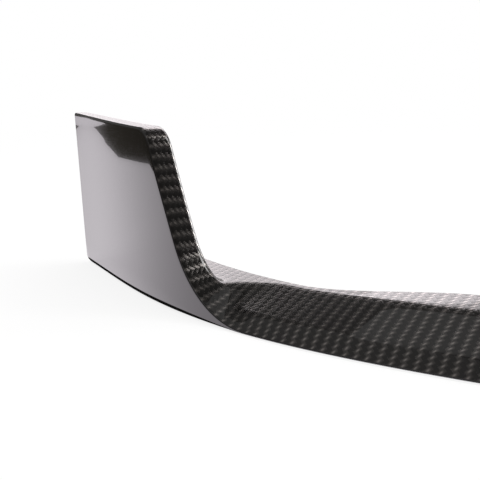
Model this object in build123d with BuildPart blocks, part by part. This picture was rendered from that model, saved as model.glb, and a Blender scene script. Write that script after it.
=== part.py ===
from build123d import *
from math import hypot, radians, sin, sqrt, tan
import os

os.makedirs("parts", exist_ok=True)

# Sizes in millimetres. X runs across the car, the nose points to -Y and Z is up.
# The lip is drawn as upright sections along its foot line, from the rear end of one fin to the nose.

# Foot line in plan: poles of one smooth curve, as distances in from and forward of the fin's rear end
half_width = 883.5
nose_reach = 524.5
fin_pole = (37.5, 126.5)
corner_pole = (51.0, 256.0)
cheek_pole = (160.0, 227.0)
nose_pole_half = 580.0

# End fin seen from its side, by distance along the foot line and height
fin_height = 88.5
fin_top_length = 127.5
fin_rake = 24.5
fin_lean = 3.8
fin_thickness = 13.0
tail_thickness = 9.5
crown_radius = 14.0
sweep_radius = 60.0
tail_length = 5.0
tail_corner_radius = 4.0

# Band: the fin's edge, which turns into the front face of the blade
land_height = 0.8
crease_height = 8.5
crease_inset = 5.5
crease_sweep_radius = 52.0
twist_start = 163.0
twist_length = 45.0
edge_radius = 2.0
fin_inner_radius = 4.5
crease_radius = 2.5
foot_radius = 2.0

# Ledge behind the fin and top of the blade
valley_inset = 16.0
valley_height = 16.5
valley_radius = 5.0
ledge_depth = 29.0
ledge_height = 20.0
brow_inset = 16.5
brow_height = 17.5
brow_radius = 9.0
blade_growth_start = 210.0
blade_growth_length = 105.0
blade_depth = 40.0
blade_height = 26.0
blade_brow_inset = 21.0
blade_brow_height = 20.5

# Laminate and the flange under the bumper
wall = 2.2
flange_depth = 58.0
flange_end_depth = 24.0
flange_edge = 1.9
channel_root = 0.6
flange_run_out = 170.0
screw_hole_diameter = 5.5
screw_inset = 47.0
screw_places = (190.0, 420.0, 650.0, 880.0)

# Spacing of the sections, from the fin's crown outwards
first_step = 4.0
tail_growth = 0.2
sweep_growth = 0.03
blade_growth = 0.15

lean = tan(radians(fin_lean))
rake = radians(fin_rake)
turn = tan((radians(90) - rake) / 2)
crown_leg = crown_radius * turn

with BuildLine() as foot_line:
    Bezier(
        (-half_width, 0),
        (-half_width + fin_pole[0], -fin_pole[1]),
        (-half_width + corner_pole[0], -corner_pole[1]),
        (-half_width + cheek_pole[0], -cheek_pole[1]),
        (-nose_pole_half, -nose_reach),
        (0, -nose_reach),
    )
foot = foot_line.edges()[0]


def mix(first, second, share):
    return first + (second - first) * share


def ease(value, start, length):
    share = min(max((value - start) / length, 0), 1)
    return share * share * (3 - 2 * share)


def fitted(leg, room):
    # A rounding that shrinks smoothly where its side is short
    return leg * room / (leg + room)


def swept(s, low, radius):
    # Height of a long edge: level along the fin's top, down its raked front and out level again at low
    leg = radius * turn
    top = fin_top_length
    base = top + (fin_height - low) * tan(rake)
    if s <= top - crown_leg:
        return fin_height
    if s <= top + crown_leg * sin(rake):
        return fin_height - crown_radius + sqrt(crown_radius**2 - (s - top + crown_leg) ** 2)
    if s <= base - leg * sin(rake):
        return fin_height - (s - top) / tan(rake)
    if s <= base + leg:
        return low + radius - sqrt(radius**2 - (base + leg - s) ** 2)
    return low


def smooth_max(first, second):
    return (first + second + hypot(first - second, 1)) / 2


def ahead(point, goal, leg):
    # The point a leg's length on the way from a corner to the next one
    share = leg / hypot(goal[0] - point[0], goal[1] - point[1])
    return mix(point[0], goal[0], share), mix(point[1], goal[1], share)


def apart(first, second):
    return hypot(second[0] - first[0], second[1] - first[1])


def inside(before, corner, after):
    # The corner moved one wall thickness inwards from both of its sides
    n = []
    for start, end in ((before, corner), (corner, after)):
        size = apart(start, end)
        n.append(((end[1] - start[1]) / size, (start[0] - end[0]) / size))
    room = 1 + n[0][0] * n[1][0] + n[0][1] * n[1][1]
    return (
        corner[0] + wall * (n[0][0] + n[1][0]) / room,
        corner[1] + wall * (n[0][1] + n[1][1]) / room,
    )


def steepness(s):
    rise = swept(s + 0.5, land_height, sweep_radius) - swept(s - 0.5, land_height, sweep_radius)
    return hypot(1, rise)


def corners(s):
    # Outer corners of the section at s: toe, edge, crease, brow or valley, and the trimmed rear edge
    fin = 1 - ease(s, twist_start, twist_length)
    full = ease(s, blade_growth_start, blade_growth_length)
    edge_up = swept(s, land_height, sweep_radius)
    crease_up = swept(s, crease_height, crease_sweep_radius)
    toe = (0, 0)
    edge = (-lean * edge_up, edge_up)
    thickness = mix(tail_thickness, fin_thickness, min(s / fin_top_length, 1))
    crease = (mix(crease_inset, thickness - lean * crease_up, fin), crease_up)
    brow = (
        mix(mix(brow_inset, blade_brow_inset, full), valley_inset, fin),
        mix(mix(brow_height, blade_brow_height, full), valley_height, fin),
    )
    rear = (mix(ledge_depth, blade_depth, full), mix(ledge_height, blade_height, full))
    return toe, edge, crease, brow, rear


def upright(s):
    # Plane across the foot line at s: its x runs inboard and its y runs up
    at = min(max(s, 0), foot.length)
    along = foot.tangent_at(at, position_mode=PositionMode.LENGTH)
    place = foot.position_at(at, position_mode=PositionMode.LENGTH) + along * (s - at)
    return Plane(origin=place, x_dir=(-along.Y, along.X, 0), z_dir=along)


def in_plan(s, inset):
    return upright(s).from_local_coords((inset, 0, 0))


def flange_reach(s):
    # Depth of the flange, which runs out under the fin's tail
    return mix(flange_end_depth, flange_depth, sin(radians(90) * min(s / flange_run_out, 1)))


def graded(start, end, growth, far_growth, far):
    # Places from start to end whose steps grow evenly, so that the loft follows them closely
    places = [0]
    while places[-1] < abs(end - start):
        gone = places[-1]
        places.append(gone + first_step + growth * min(gone, far) + far_growth * max(gone - far, 0))
    scale = (end - start) / places[-1]
    return [start + scale * place for place in places]


# Stations: close together where the fin's edge bends, far apart along the blade
crown = fin_top_length - crown_leg / 5
stations = graded(crown, tail_length, tail_growth, tail_growth, crown)[:0:-1]
stations += graded(crown, foot.length, sweep_growth, blade_growth, sweep_radius * turn + sweep_radius)


def outside(s):
    # Outer side of the section at s, from the toe over the band to the rear edge, with its corners rounded
    toe, edge, crease, brow, rear = corners(s)
    drop = steepness(s)
    twist = ease(s, twist_start, twist_length)
    bend = mix(fin_inner_radius, crease_radius, twist)
    round_over = mix(valley_radius, brow_radius, twist)
    toe_in = (foot_radius, 0)
    toe_up = ahead(toe, edge, fitted(foot_radius, apart(toe, edge) / 2))
    edge_down = ahead(edge, toe, fitted(edge_radius * drop, apart(toe, edge) / 2))
    edge_in = ahead(edge, crease, fitted(edge_radius, apart(edge, crease) / 2))
    crease_out = ahead(crease, edge, fitted(bend, apart(edge, crease) / 2))
    crease_in = ahead(crease, brow, fitted(bend * drop, apart(crease, brow) / 2))
    brow_out = ahead(brow, crease, fitted(round_over, apart(crease, brow) / 2))
    brow_in = ahead(brow, rear, fitted(round_over, apart(brow, rear) / 2))
    Bezier(toe_in, toe, toe_up)
    Line(toe_up, edge_down)
    Bezier(edge_down, edge, edge_in)
    Line(edge_in, crease_out)
    Bezier(crease_out, crease, crease_in)
    Line(crease_in, brow_out)
    Bezier(brow_out, brow, brow_in)
    Line(brow_in, rear)
    return rear


def underside(s):
    # Inner side of the section at s, one wall thickness in, from the rear edge round to the channel's floor
    toe, edge, crease, brow, rear = corners(s)
    drop = wall * (steepness(s) - 1)
    edge_in = inside(toe, edge, crease)
    crease_in = inside(edge, crease, brow)
    edge_in = (edge_in[0], edge_in[1] - drop)
    crease_in = (crease_in[0], crease_in[1] - drop)
    brow_under = inside(crease, brow, rear)
    rear_under = inside(brow, rear, (2 * rear[0] - brow[0], 2 * rear[1] - brow[1]))
    lift = smooth_max(edge_in[1], wall + channel_root) - edge_in[1]
    edge_in = ahead(edge_in, crease_in, lift)
    root = (edge_in[0] + lean * (edge_in[1] - wall), wall)
    Polyline(rear_under, brow_under, crease_in, edge_in, root)
    return rear_under, root


# Half of the lip as one folded skin: front, top, channel and the flange that runs on under the bumper.
# Each section starts on the flange's flat top, so that the seam of the loft lies there.
with BuildPart() as half:
    for s in stations:
        with BuildSketch(upright(s)):
            with BuildLine():
                lap = flange_reach(s)
                seam = (lap / 2, wall)
                Line(seam, (lap, flange_edge))
                Line((lap, flange_edge), (lap, 0))
                Line((lap, 0), (foot_radius, 0))
                rear = outside(s)
                rear_under, root = underside(s)
                Line(rear, rear_under)
                Line(root, seam)
            make_face()
    loft()

# Block that closes the tail end of the fin and channel, its lower corner rounded off
with BuildPart() as tail:
    for s in (0, tail_length):
        with BuildSketch(upright(s)):
            with BuildLine():
                rear = outside(s)
                Polyline(rear, (rear[0], 0), (foot_radius, 0))
            make_face()
    loft()
    side = Plane(origin=in_plan(0, 0), x_dir=upright(0).z_dir, z_dir=-upright(0).x_dir)
    with BuildSketch(side):
        with BuildLine():
            Polyline((0, tail_corner_radius), (0, 0), (tail_corner_radius, 0))
            RadiusArc((tail_corner_radius, 0), (0, tail_corner_radius), tail_corner_radius)
        make_face()
    extrude(amount=2 * ledge_depth, both=True, mode=Mode.SUBTRACT)

with BuildPart() as lip:
    add(half.part)
    add(tail.part)
    with Locations([in_plan(s, screw_inset) for s in screw_places]):
        Cylinder(screw_hole_diameter / 2, 4 * wall, mode=Mode.SUBTRACT)
    mirror(about=Plane.YZ)

# The origin lies on the floor under the middle of the lip
with BuildPart() as front_lip:
    with Locations((0, -lip.part.bounding_box().center().Y, 0)):
        add(lip.part)

front_lip.part.label = "front lip"
export_step(front_lip.part, "parts/front_lip.step")
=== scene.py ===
from math import cos, hypot, pi, radians, sin, sqrt, tan

import bmesh
import bpy
import numpy as np
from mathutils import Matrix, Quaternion, Vector


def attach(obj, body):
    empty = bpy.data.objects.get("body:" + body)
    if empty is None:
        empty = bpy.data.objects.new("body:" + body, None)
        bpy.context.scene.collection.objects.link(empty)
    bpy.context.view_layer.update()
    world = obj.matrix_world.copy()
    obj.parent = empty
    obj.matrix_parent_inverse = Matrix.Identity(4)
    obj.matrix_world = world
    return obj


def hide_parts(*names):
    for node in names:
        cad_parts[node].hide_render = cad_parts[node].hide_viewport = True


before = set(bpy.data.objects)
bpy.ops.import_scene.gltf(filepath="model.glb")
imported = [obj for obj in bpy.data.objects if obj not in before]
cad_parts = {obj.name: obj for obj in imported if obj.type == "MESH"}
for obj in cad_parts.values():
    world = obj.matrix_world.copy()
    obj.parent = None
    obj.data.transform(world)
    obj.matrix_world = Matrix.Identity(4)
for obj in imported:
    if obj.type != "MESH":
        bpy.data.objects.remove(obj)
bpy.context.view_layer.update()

# Sizes of the lip in millimetres, as in the part's source. The brow lies nearer the rear edge here,
# and the foot and the fin's lower rear corner are rounder.
half_width = 883.5
nose_reach = 524.5
fin_pole = (37.5, 126.5)
corner_pole = (51.0, 256.0)
cheek_pole = (160.0, 227.0)
nose_pole_half = 580.0
fin_height = 88.5
fin_top_length = 127.5
fin_rake = 24.5
fin_lean = 3.8
fin_thickness = 13.0
tail_thickness = 9.5
crown_radius = 14.0
sweep_radius = 60.0
tail_length = 5.0
tail_corner_length = 11.0
tail_corner_height = 5.0
land_height = 0.8
crease_height = 8.5
crease_inset = 5.5
crease_sweep_radius = 52.0
twist_start = 163.0
twist_length = 45.0
edge_radius = 2.0
fin_inner_radius = 4.5
crease_radius = 2.5
foot_radius = 3.0
valley_inset = 16.0
valley_height = 16.5
valley_radius = 5.0
ledge_depth = 29.0
ledge_height = 20.0
brow_inset = 25.6
brow_height = 19.35
brow_radius = 5.0
blade_growth_start = 210.0
blade_growth_length = 105.0
blade_depth = 40.0
blade_height = 26.0
blade_brow_inset = 25.5
blade_brow_height = 21.8
wall = 2.2
flange_depth = 58.0
flange_end_depth = 24.0
channel_root = 0.6
flange_run_out = 170.0
screw_hole_diameter = 5.5
screw_inset = 47.0
screw_places = (190.0, 420.0, 650.0, 880.0)
rim_break = 0.3

# Counts of points along each part of a section
foot_steps = 4
face_steps = 10
edge_steps = 4
band_steps = 4
crease_steps = 9
top_steps = 8
brow_steps = 8
rear_steps = 4
brow_middle = top_steps + brow_steps // 2

# Spacing of the sections in millimetres: close where the fin's edge bends, wide along the blade
tail_corner_steps = 9
bend_start = 100.0
bend_end = 225.0
bend_step = 1.2
near_end = 330.0
near_step = 4.0
far_step = 7.0
weld_distance = 0.0005

# Finishes of the lip's faces
cloth_finish = 0
face_finish = 1
# Painted shade of the shadow gap along the foot
foot_shade_finish = 2

lean = tan(radians(fin_lean))
rake = radians(fin_rake)
turn = tan((radians(90) - rake) / 2)
crown_leg = crown_radius * turn
sweep_end = fin_top_length + (fin_height - land_height) * tan(rake) + sweep_radius * turn

# Foot line in plan, sampled by its own length
poles = np.array([
    (-half_width, 0),
    (-half_width + fin_pole[0], -fin_pole[1]),
    (-half_width + corner_pole[0], -corner_pole[1]),
    (-half_width + cheek_pole[0], -cheek_pole[1]),
    (-nose_pole_half, -nose_reach),
    (0, -nose_reach),
])
share = np.linspace(0, 1, 8001)
weights = [1, 5, 10, 10, 5, 1]
plan = sum(
    weights[k] * share[:, None] ** k * (1 - share[:, None]) ** (5 - k) * poles[k] for k in range(6)
)
run = np.concatenate([[0], np.cumsum(np.hypot(*np.diff(plan, axis=0).T))])
slope = np.gradient(plan, run, axis=0)
foot_length = run[-1]


def mix(first, second, share):
    return first + (second - first) * share


def ease(value, start, length):
    share = min(max((value - start) / length, 0), 1)
    return share * share * (3 - 2 * share)


def fitted(leg, room):
    return leg * room / (leg + room)


def swept(s, low, radius):
    leg = radius * turn
    base = fin_top_length + (fin_height - low) * tan(rake)
    if s <= fin_top_length - crown_leg:
        return fin_height
    if s <= fin_top_length + crown_leg * sin(rake):
        return fin_height - crown_radius + sqrt(crown_radius**2 - (s - fin_top_length + crown_leg) ** 2)
    if s <= base - leg * sin(rake):
        return fin_height - (s - fin_top_length) / tan(rake)
    if s <= base + leg:
        return low + radius - sqrt(radius**2 - (base + leg - s) ** 2)
    return low


def smooth_max(first, second):
    return (first + second + hypot(first - second, 1)) / 2


def apart(first, second):
    return hypot(second[0] - first[0], second[1] - first[1])


def between(first, second, share):
    return mix(first[0], second[0], share), mix(first[1], second[1], share)


def ahead(point, goal, leg):
    # The point a leg's length on the way from a corner to the next one
    return between(point, goal, leg / apart(point, goal))


def inside(before, corner, after):
    n = []
    for start, end in ((before, corner), (corner, after)):
        size = apart(start, end)
        n.append(((end[1] - start[1]) / size, (start[0] - end[0]) / size))
    room = 1 + n[0][0] * n[1][0] + n[0][1] * n[1][1]
    return (
        corner[0] + wall * (n[0][0] + n[1][0]) / room,
        corner[1] + wall * (n[0][1] + n[1][1]) / room,
    )


def steepness(s):
    rise = swept(s + 0.5, land_height, sweep_radius) - swept(s - 0.5, land_height, sweep_radius)
    return hypot(1, rise)


def corners(s):
    fin = 1 - ease(s, twist_start, twist_length)
    full = ease(s, blade_growth_start, blade_growth_length)
    edge_up = swept(s, land_height, sweep_radius)
    crease_up = swept(s, crease_height, crease_sweep_radius)
    thickness = mix(tail_thickness, fin_thickness, min(s / fin_top_length, 1))
    return (
        (0, 0),
        (-lean * edge_up, edge_up),
        (mix(crease_inset, thickness - lean * crease_up, fin), crease_up),
        (
            mix(mix(brow_inset, blade_brow_inset, full), valley_inset, fin),
            mix(mix(brow_height, blade_brow_height, full), valley_height, fin),
        ),
        (mix(ledge_depth, blade_depth, full), mix(ledge_height, blade_height, full)),
    )


def line(first, second, count):
    return [between(first, second, k / count) for k in range(count)]


def bend(first, corner, second, count, start=0.0, end=1.0):
    # Points of the rounding of a corner, or of the share of it from start to end
    points = []
    for k in range(count):
        t = mix(start, end, k / count)
        points.append(between(between(first, corner, t), between(corner, second, t), t))
    return points


def face_runs(s):
    # Shown side of the section in three runs: outer face, band, and from the crease to the rear edge
    toe, edge, crease, brow, rear = corners(s)
    drop = steepness(s)
    twist = ease(s, twist_start, twist_length)
    inner = mix(fin_inner_radius, crease_radius, twist)
    over = mix(valley_radius, brow_radius, twist)
    toe_in = (foot_radius, 0)
    toe_up = ahead(toe, edge, fitted(foot_radius, apart(toe, edge) / 2))
    edge_down = ahead(edge, toe, fitted(edge_radius * drop, apart(toe, edge) / 2))
    edge_in = ahead(edge, crease, fitted(edge_radius, apart(edge, crease) / 2))
    crease_out = ahead(crease, edge, fitted(inner, apart(edge, crease) / 2))
    crease_in = ahead(crease, brow, fitted(inner * drop, apart(crease, brow) / 2))
    brow_out = ahead(brow, crease, fitted(over, apart(crease, brow) / 2))
    brow_in = ahead(brow, rear, fitted(over, apart(brow, rear) / 2))
    middle = bend(edge_down, edge, edge_in, 1, 0.5)[0]
    outer = bend(toe_in, toe, toe_up, foot_steps) + line(toe_up, edge_down, face_steps)
    outer += bend(edge_down, edge, edge_in, edge_steps, 0, 0.5)
    band = bend(edge_down, edge, edge_in, edge_steps, 0.5, 1) + line(edge_in, crease_out, band_steps)
    band += bend(crease_out, crease, crease_in, crease_steps)
    top = line(crease_in, brow_out, top_steps) + bend(brow_out, brow, brow_in, brow_steps)
    top += line(brow_in, ahead(rear, brow, rim_break), rear_steps)
    return outer + [middle], band + [crease_in], top + [ahead(rear, brow, rim_break)]


def under_run(s):
    # Hidden side: rear edge, inside of the laminate, channel and flange, back to the toe
    toe, edge, crease, brow, rear = corners(s)
    drop = wall * (steepness(s) - 1)
    edge_in = inside(toe, edge, crease)
    crease_in = inside(edge, crease, brow)
    edge_in = (edge_in[0], edge_in[1] - drop)
    crease_in = (crease_in[0], crease_in[1] - drop)
    brow_under = inside(crease, brow, rear)
    rear_under = inside(brow, rear, (2 * rear[0] - brow[0], 2 * rear[1] - brow[1]))
    lift = smooth_max(edge_in[1], wall + channel_root) - edge_in[1]
    edge_in = ahead(edge_in, crease_in, lift)
    root = (edge_in[0] + lean * (edge_in[1] - wall), wall)
    lap = mix(flange_end_depth, flange_depth, sin(radians(90) * min(s / flange_run_out, 1)))
    return [
        ahead(rear, brow, rim_break),
        ahead(rear, rear_under, rim_break),
        rear_under,
        brow_under,
        crease_in,
        edge_in,
        root,
        (lap, wall),
        (lap, 0),
        (foot_radius, 0),
    ]


def lay(s, points, lift=0.0):
    # Section points at s as points of the part's frame in millimetres
    at = np.array([np.interp(s, run, plan[:, k]) for k in (0, 1)])
    along = np.array([np.interp(s, run, slope[:, k]) for k in (0, 1)])
    along = along / np.hypot(*along)
    inboard = np.array((-along[1], along[0]))
    return [(*(at + inboard * x), max(z, lift)) for x, z in points]


def tail_lift(s):
    # Height of the rounded lower corner at the fin's rear end
    gone = max(1 - s / tail_corner_length, 0)
    return tail_corner_height * (1 - sqrt(1 - gone**2))


quarter = [radians(90 * k / tail_corner_steps) for k in range(tail_corner_steps + 1)]
stations = [tail_corner_length * (1 - cos(angle)) for angle in quarter]
while stations[-1] < foot_length:
    s = stations[-1]
    if bend_start < s < bend_end:
        stations.append(s + bend_step)
    else:
        stations.append(s + (near_step if s < near_end else far_step))
stations[-1] = foot_length
stations = sorted(set(stations + [tail_length]))

# Lengths along the band, which are longer than along the foot line where the fin's front drops
fine = np.arange(0, foot_length, 0.25)
crest = np.array([swept(s, crease_height, crease_sweep_radius) for s in fine])
band_run = np.concatenate([[0], np.cumsum(np.hypot(np.diff(fine), np.diff(crest)))])
extra = band_run[-1] - fine[-1]


def lengths(points):
    return np.concatenate([[0], np.cumsum([apart(a, b) for a, b in zip(points, points[1:])])])


def cloth(s, runs):
    # Where the woven cloth lies on each run: along and across it, in millimetres
    outer, band, top = runs
    crossing = lengths(band)
    top_length = lengths(top)
    brow_at = top_length[brow_middle]
    if s >= sweep_end:
        brow_cloth = crossing[-1] + brow_at
    else:
        late = face_runs(sweep_end)
        brow_cloth = lengths(late[1])[-1] + lengths(late[2])[brow_middle]
    band_along = np.interp(s, fine, band_run) if s < fine[-1] else s + extra
    return (
        [(s, v) for v in lengths(outer)],
        [(band_along, v) for v in crossing],
        [(s + extra, v - brow_at + brow_cloth) for v in top_length],
    )


bm = bmesh.new()
uv = bm.loops.layers.uv.new("UVMap")


def strip(rows, clothes, flip, finish=cloth_finish):
    # Quads between neighbouring rows of points, with the cloth's place at every corner
    grid = [[bm.verts.new((p[0], p[1], p[2])) for p in row] for row in rows]
    for i in range(len(grid) - 1):
        for j in range(len(grid[0]) - 1):
            spots = [(i, j), (i + 1, j), (i + 1, j + 1), (i, j + 1)]
            if flip:
                spots.reverse()
            face = bm.faces.new([grid[a][b] for a, b in spots])
            # The foot rounding of the outer face takes the painted shade
            on_foot = finish == face_finish and j < foot_steps
            face.material_index = foot_shade_finish if on_foot else finish
            for loop, (a, b) in zip(face.loops, spots):
                loop[uv].uv = clothes[a][b]


def cap(points, flip):
    ring = [bm.verts.new(p) for p in points]
    face = bm.faces.new(ring[::-1] if flip else ring)
    for loop in face.loops:
        loop[uv].uv = (loop.vert.co.y, loop.vert.co.z)


for side in (1, -1):
    def place(points):
        return [(side * x, y, z) for x, y, z in points]

    def wrap(spots):
        return [(u if side > 0 else 2 * (foot_length + extra) - u, v) for u, v in spots]

    runs = [face_runs(s) for s in stations]
    spots = [cloth(s, r) for s, r in zip(stations, runs)]
    for k in range(3):
        rows = [place(lay(s, r[k], tail_lift(s))) for s, r in zip(stations, runs)]
        strip(rows, [wrap(c[k]) for c in spots], side < 0, face_finish if k == 0 else cloth_finish)
    beyond = [s for s in stations if s >= tail_length]
    hidden = [under_run(s) for s in beyond]
    rows = [place(lay(s, r, tail_lift(s))) for s, r in zip(beyond, hidden)]
    strip(rows, [wrap([(s, v) for v in lengths(r)]) for s, r in zip(beyond, hidden)], side < 0)

    # Block that closes the fin's rear end
    block = [s for s in stations if s <= tail_length]
    backs = []
    for s in block:
        rear = corners(s)[4]
        backs.append([face_runs(s)[2][-1], (rear[0], 0), (foot_radius, 0)])
    rows = [place(lay(s, r, tail_lift(s))) for s, r in zip(block, backs)]
    strip(rows, [wrap([(s, v) for v in lengths(r)]) for s, r in zip(block, backs)], side < 0)
    outer, band, top = face_runs(0)
    outline = outer[:-1] + band[:-1] + top + [(corners(0)[4][0], 0)]
    cap(place(lay(0, outline, tail_corner_height)), side < 0)
    inner = under_run(tail_length)[:-1] + [(corners(tail_length)[4][0], 0)]
    cap(place(lay(tail_length, inner, tail_lift(tail_length))), side > 0)

bmesh.ops.remove_doubles(bm, verts=bm.verts, dist=weld_distance)
bmesh.ops.dissolve_degenerate(bm, edges=bm.edges, dist=weld_distance)
bmesh.ops.recalc_face_normals(bm, faces=bm.faces)
middle_y = (min(v.co.y for v in bm.verts) + max(v.co.y for v in bm.verts)) / 2
for v in bm.verts:
    v.co.y -= middle_y
    v.co *= 0.001
for face in bm.faces:
    face.smooth = True
    for loop in face.loops:
        loop[uv].uv *= 0.001
mesh = bpy.data.meshes.new("lip")
bm.to_mesh(mesh)
bm.free()
mesh.set_sharp_from_angle(angle=radians(38))
lip = bpy.data.objects.new("carbon_lip", mesh)
bpy.context.scene.collection.objects.link(lip)

# Screw holes through the flange
drills = []
for s in screw_places:
    x, y, z = lay(s, [(screw_inset, 0)])[0]
    for side in (1, -1):
        bpy.ops.mesh.primitive_cylinder_add(
            vertices=32,
            radius=screw_hole_diameter / 2000,
            depth=0.012,
            location=(side * x / 1000, (y - middle_y) / 1000, 0),
        )
        drills.append(bpy.context.object)
bpy.ops.object.select_all(action="DESELECT")
for drill in drills:
    drill.select_set(True)
bpy.context.view_layer.objects.active = drills[0]
bpy.ops.object.join()
drill = drills[0]
cut = lip.modifiers.new("screw holes", "BOOLEAN")
cut.object = drill
cut.operation = "DIFFERENCE"
cut.solver = "EXACT"
bpy.context.view_layer.objects.active = lip
bpy.ops.object.modifier_apply(modifier=cut.name)
bpy.data.objects.remove(drill)

# Clear-coated twill cloth, with painted sheen and painted glints on its weft floats
carbon = bpy.data.materials.new("carbon")
carbon.use_nodes = True
tree = carbon.node_tree
tree.nodes.clear()
tow_width = 0.0020
sway_scale = 90
sway_reach = 0.0012
float_arch = 0.00016
arch_share = 0.67
# Sharpness of the painted glint spots, and the share of painted sheen that every weft float gets
glint_sharpness = 4
sheen_share = 0.16


def node(kind, **settings):
    made = tree.nodes.new(kind)
    for name, value in settings.items():
        setattr(made, name, value)
    return made


def calc(operation, first, second=None):
    made = node("ShaderNodeMath", operation=operation)
    for k, value in enumerate((first, second)):
        if value is None:
            continue
        if isinstance(value, (int, float)):
            made.inputs[k].default_value = value
        else:
            tree.links.new(value, made.inputs[k])
    return made.outputs[0]


spot = node("ShaderNodeUVMap", uv_map="UVMap")
wander = node("ShaderNodeTexNoise", noise_dimensions="2D")
wander.inputs["Scale"].default_value = sway_scale
wander.inputs["Detail"].default_value = 1.5
tree.links.new(spot.outputs[0], wander.inputs["Vector"])
part = node("ShaderNodeSeparateXYZ")
tree.links.new(spot.outputs[0], part.inputs[0])
sway = calc("MULTIPLY", calc("SUBTRACT", wander.outputs[0], 0.5), sway_reach)
u = calc("ADD", part.outputs[0], sway)
v = calc("SUBTRACT", part.outputs[1], sway)
diagonal = tow_width * sqrt(2)
p = calc("DIVIDE", calc("ADD", u, v), diagonal)
q = calc("DIVIDE", calc("SUBTRACT", u, v), diagonal)
p_tow = calc("FLOOR", p)
q_tow = calc("FLOOR", q)
phase = calc("FLOORED_MODULO", calc("ADD", p_tow, q_tow), 4)
warp = calc("LESS_THAN", phase, 1.5)
weft = calc("SUBTRACT", 1, warp)
warp_run = calc("DIVIDE", calc("FLOORED_MODULO", calc("ADD", p_tow, q), 4), 2)
weft_run = calc("DIVIDE", calc("SUBTRACT", calc("FLOORED_MODULO", calc("ADD", p, q_tow), 4), 2), 2)


def dome(value):
    # One at the middle of a span from 0 to 1 and zero at its ends
    return calc("MULTIPLY", calc("MULTIPLY", value, calc("SUBTRACT", 1, value)), 4)


def float_height(across, along):
    # A tow's float: arched along its length and rounded across it
    rounded = calc("MULTIPLY", dome(across), 1 - arch_share)
    return calc("ADD", rounded, calc("MULTIPLY", dome(along), arch_share))


def clear_coat(skin):
    skin.inputs["Coat Weight"].default_value = 1.0
    skin.inputs["Coat Roughness"].default_value = 0.02
    skin.inputs["Coat IOR"].default_value = 1.5


warp_high = float_height(calc("FRACT", p), warp_run)
weft_high = float_height(calc("FRACT", q), weft_run)
height = calc("ADD", calc("MULTIPLY", warp, warp_high), calc("MULTIPLY", weft, weft_high))

bump = node("ShaderNodeBump")
bump.inputs["Strength"].default_value = 1.0
bump.inputs["Distance"].default_value = float_arch
tree.links.new(height, bump.inputs["Height"])
# Painted sheen and painted glints: the weft floats get a lighter base colour and a bright spot at each
# float's middle, standing in for the tows' highlights. The warp floats keep the dark colour.
glint_mix = node("ShaderNodeMix", data_type="RGBA")
painted_glint = calc("POWER", calc("MULTIPLY", dome(weft_run), dome(calc("FRACT", q))), glint_sharpness)
painted_sheen = calc("MULTIPLY", weft, calc("ADD", calc("MULTIPLY", painted_glint, 1 - sheen_share), sheen_share))
tree.links.new(painted_sheen, glint_mix.inputs["Factor"])
glint_mix.inputs["A"].default_value = (0.027, 0.025, 0.024, 1)
glint_mix.inputs["B"].default_value = (0.350, 0.321, 0.305, 1)
skin = node("ShaderNodeBsdfPrincipled")
tree.links.new(glint_mix.outputs["Result"], skin.inputs["Base Color"])
skin.inputs["Metallic"].default_value = 1.0
skin.inputs["Roughness"].default_value = 0.26
clear_coat(skin)
tree.links.new(bump.outputs[0], skin.inputs["Normal"])
out = node("ShaderNodeOutputMaterial")
tree.links.new(skin.outputs[0], out.inputs["Surface"])
lip.data.materials.append(carbon)

# Outer face of the fin, where the clear coat's reflections hide the cloth
gloss = bpy.data.materials.new("carbon_face")
gloss.use_nodes = True
skin = gloss.node_tree.nodes["Principled BSDF"]
skin.inputs["Base Color"].default_value = (0.073, 0.070, 0.073, 1)
skin.inputs["Metallic"].default_value = 1.0
skin.inputs["Roughness"].default_value = 0.10
clear_coat(skin)
lip.data.materials.append(gloss)

# Foot rounding along the floor: painted shade, a dark matte finish without clear coat that stands in
# for the shadow gap where the lip meets the floor
foot_shade = bpy.data.materials.new("carbon_foot_shade")
foot_shade.use_nodes = True
skin = foot_shade.node_tree.nodes["Principled BSDF"]
skin.inputs["Base Color"].default_value = (0.014, 0.013, 0.013, 1)
skin.inputs["Roughness"].default_value = 0.6
skin.inputs["Specular IOR Level"].default_value = 0.0
lip.data.materials.append(foot_shade)

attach(lip, "root")
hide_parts("front_lip")

# White paper floor that keeps a faint shadow. Past its left edge the room is dark.
floor_gap = 0.0004
paper_edge = [(-1.2, -4), (5, -4), (5, 6.3), (-4.4, 6.3), (-1.46, 1.24), (-1.385, 1.04), (-1.36, 0.995)]
paper_edge += [(-1.29, 0.95), (-1.19, 0.73), (-1.15, 0.6), (-1.17, 0.44)]
sheet = bpy.data.meshes.new("floor")
sheet.from_pydata(
    [(x, y, 0) for x, y in paper_edge],
    [],
    [tuple(range(len(paper_edge)))],
)
floor = bpy.data.objects.new("floor", sheet)
floor.location.z = -floor_gap
bpy.context.scene.collection.objects.link(floor)
paper = bpy.data.materials.new("paper")
paper.use_nodes = True
tree = paper.node_tree
tree.nodes.clear()
path = node("ShaderNodeLightPath")
spot = node("ShaderNodeTexCoord")
axis = node("ShaderNodeSeparateXYZ")
tree.links.new(spot.outputs["Object"], axis.inputs[0])
far = node("ShaderNodeMapRange", interpolation_type="SMOOTHSTEP")
tree.links.new(axis.outputs[1], far.inputs["Value"])
far.inputs["From Min"].default_value = 0.5
far.inputs["From Max"].default_value = 1.4
far.inputs["To Min"].default_value = 0.85
far.inputs["To Max"].default_value = 1.0
seen = calc("MAXIMUM", path.outputs["Is Camera Ray"], path.outputs["Is Glossy Ray"])
white = node("ShaderNodeEmission")
tone = node("ShaderNodeMix", data_type="RGBA")
tree.links.new(path.outputs["Is Glossy Ray"], tone.inputs["Factor"])
tone.inputs["A"].default_value = (1, 1, 1, 1)
tone.inputs["B"].default_value = (1, 0.945, 1, 1)
tree.links.new(tone.outputs["Result"], white.inputs["Color"])
matte = node("ShaderNodeBsdfDiffuse")
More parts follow.
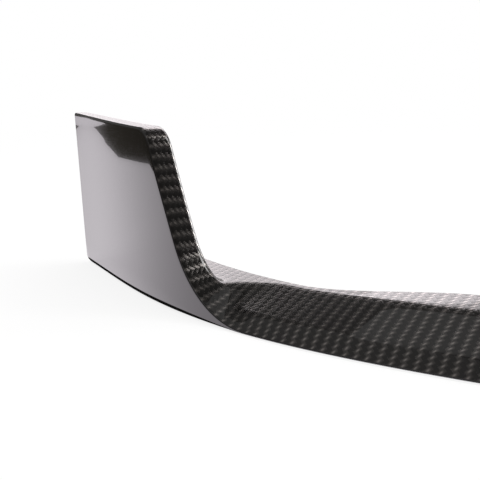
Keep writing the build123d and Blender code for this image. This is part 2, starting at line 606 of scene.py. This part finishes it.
matte.inputs["Color"].default_value = (0.92, 0.92, 0.92, 1)
blend = node("ShaderNodeMixShader")
tree.links.new(calc("MULTIPLY", seen, far.outputs[0]), blend.inputs[0])
tree.links.new(matte.outputs[0], blend.inputs[1])
tree.links.new(white.outputs[0], blend.inputs[2])
out = node("ShaderNodeOutputMaterial")
tree.links.new(blend.outputs[0], out.inputs["Surface"])
sheet.materials.append(paper)

# World: white where the camera looks, a dim room for the reflections
world = bpy.data.worlds.new("studio")
bpy.context.scene.world = world
world.use_nodes = True
tree = world.node_tree
tree.nodes.clear()
path = node("ShaderNodeLightPath")
aim = node("ShaderNodeTexCoord")
axis = node("ShaderNodeSeparateXYZ")
tree.links.new(aim.outputs["Generated"], axis.inputs[0])
above = node("ShaderNodeMix", data_type="RGBA")
tree.links.new(calc("GREATER_THAN", axis.outputs[2], 0.0), above.inputs["Factor"])
above.inputs["A"].default_value = (0.050, 0.045, 0.038, 1)
above.inputs["B"].default_value = (0.130, 0.127, 0.123, 1)
room = node("ShaderNodeBackground")
tree.links.new(above.outputs["Result"], room.inputs["Color"])
clear = node("ShaderNodeBackground")
clear.inputs["Color"].default_value = (1, 1, 1, 1)
choose = node("ShaderNodeMixShader")
tree.links.new(path.outputs["Is Camera Ray"], choose.inputs[0])
tree.links.new(room.outputs[0], choose.inputs[1])
tree.links.new(clear.outputs[0], choose.inputs[2])
out = node("ShaderNodeOutputWorld")
tree.links.new(choose.outputs[0], out.inputs["Surface"])


def soft_lamp(name, location, goal, width, height, radiance, roll=0, glossy=True, tint=(1, 1, 1)):
    # Rectangular soft box that faces its goal, rolled about that line
    data = bpy.data.lights.new(name, "AREA")
    data.shape = "RECTANGLE"
    data.size = width
    data.size_y = height
    data.energy = radiance * pi * width * height
    data.color = tint
    lamp = bpy.data.objects.new(name, data)
    lamp.location = location
    facing = (Vector(goal) - Vector(location)).to_track_quat("-Z", "Y")
    lamp.rotation_euler = (facing @ Quaternion((0, 0, 1), radians(roll))).to_euler()
    lamp.visible_glossy = glossy
    lamp.visible_camera = False
    bpy.context.scene.collection.objects.link(lamp)


# Soft boxes, placed so that their reflections fall where they are seen.
# The overhead one lights the floor and is not reflected.
lilac = (1, 0.94, 0.97)
soft_lamp("back box", (0.020, 1.8, 1.390), (0.020, 0.0, 1.390), 3.0, 0.78, 1.6, roll=-33, tint=lilac)
soft_lamp("back low box", (0.1, 1.8, 0.16), (0.1, 0.0, 0.16), 2.8, 0.28, 0.85, tint=lilac)
soft_lamp("back high box", (-0.4, 1.7, 1.42), (-0.4, 0.0, 1.42), 0.7, 0.75, 1.5, tint=lilac)
soft_lamp("right box", (0.55, 0.75, 0.5), (-0.83, 0.12, 0.05), 0.6, 0.6, 8.0)
soft_lamp("crown box", (0.096, 0.163, 1.125), (-0.84, 0.13, 0.085), 0.46, 0.44, 6.0)
soft_lamp("left box", (-2.4, -0.1, 1.5), (-0.7, -0.2, 0.02), 2.4, 1.4, 0.17)
soft_lamp("top box", (-1.3, 0.5, 1.85), (-0.7, -0.1, 0.02), 0.9, 0.9, 0.30)
soft_lamp("overhead", (-0.6, 0.0, 1.9), (-0.6, 0.0, 0.0), 2.6, 2.6, 2.0, glossy=False)

# Camera at the photograph's viewing angle
look_down = 9.6
look_right = 6
bpy.ops.object.camera_add(
    location=(-0.8665, -0.4536, 0.132),
    rotation=(radians(90 - look_down), 0, radians(-look_right)),
)
camera = bpy.context.object
camera.data.lens = 90
camera.data.sensor_width = 36
camera.data.dof.use_dof = False
bpy.context.scene.camera = camera
bpy.context.scene.view_settings.view_transform = "Standard"
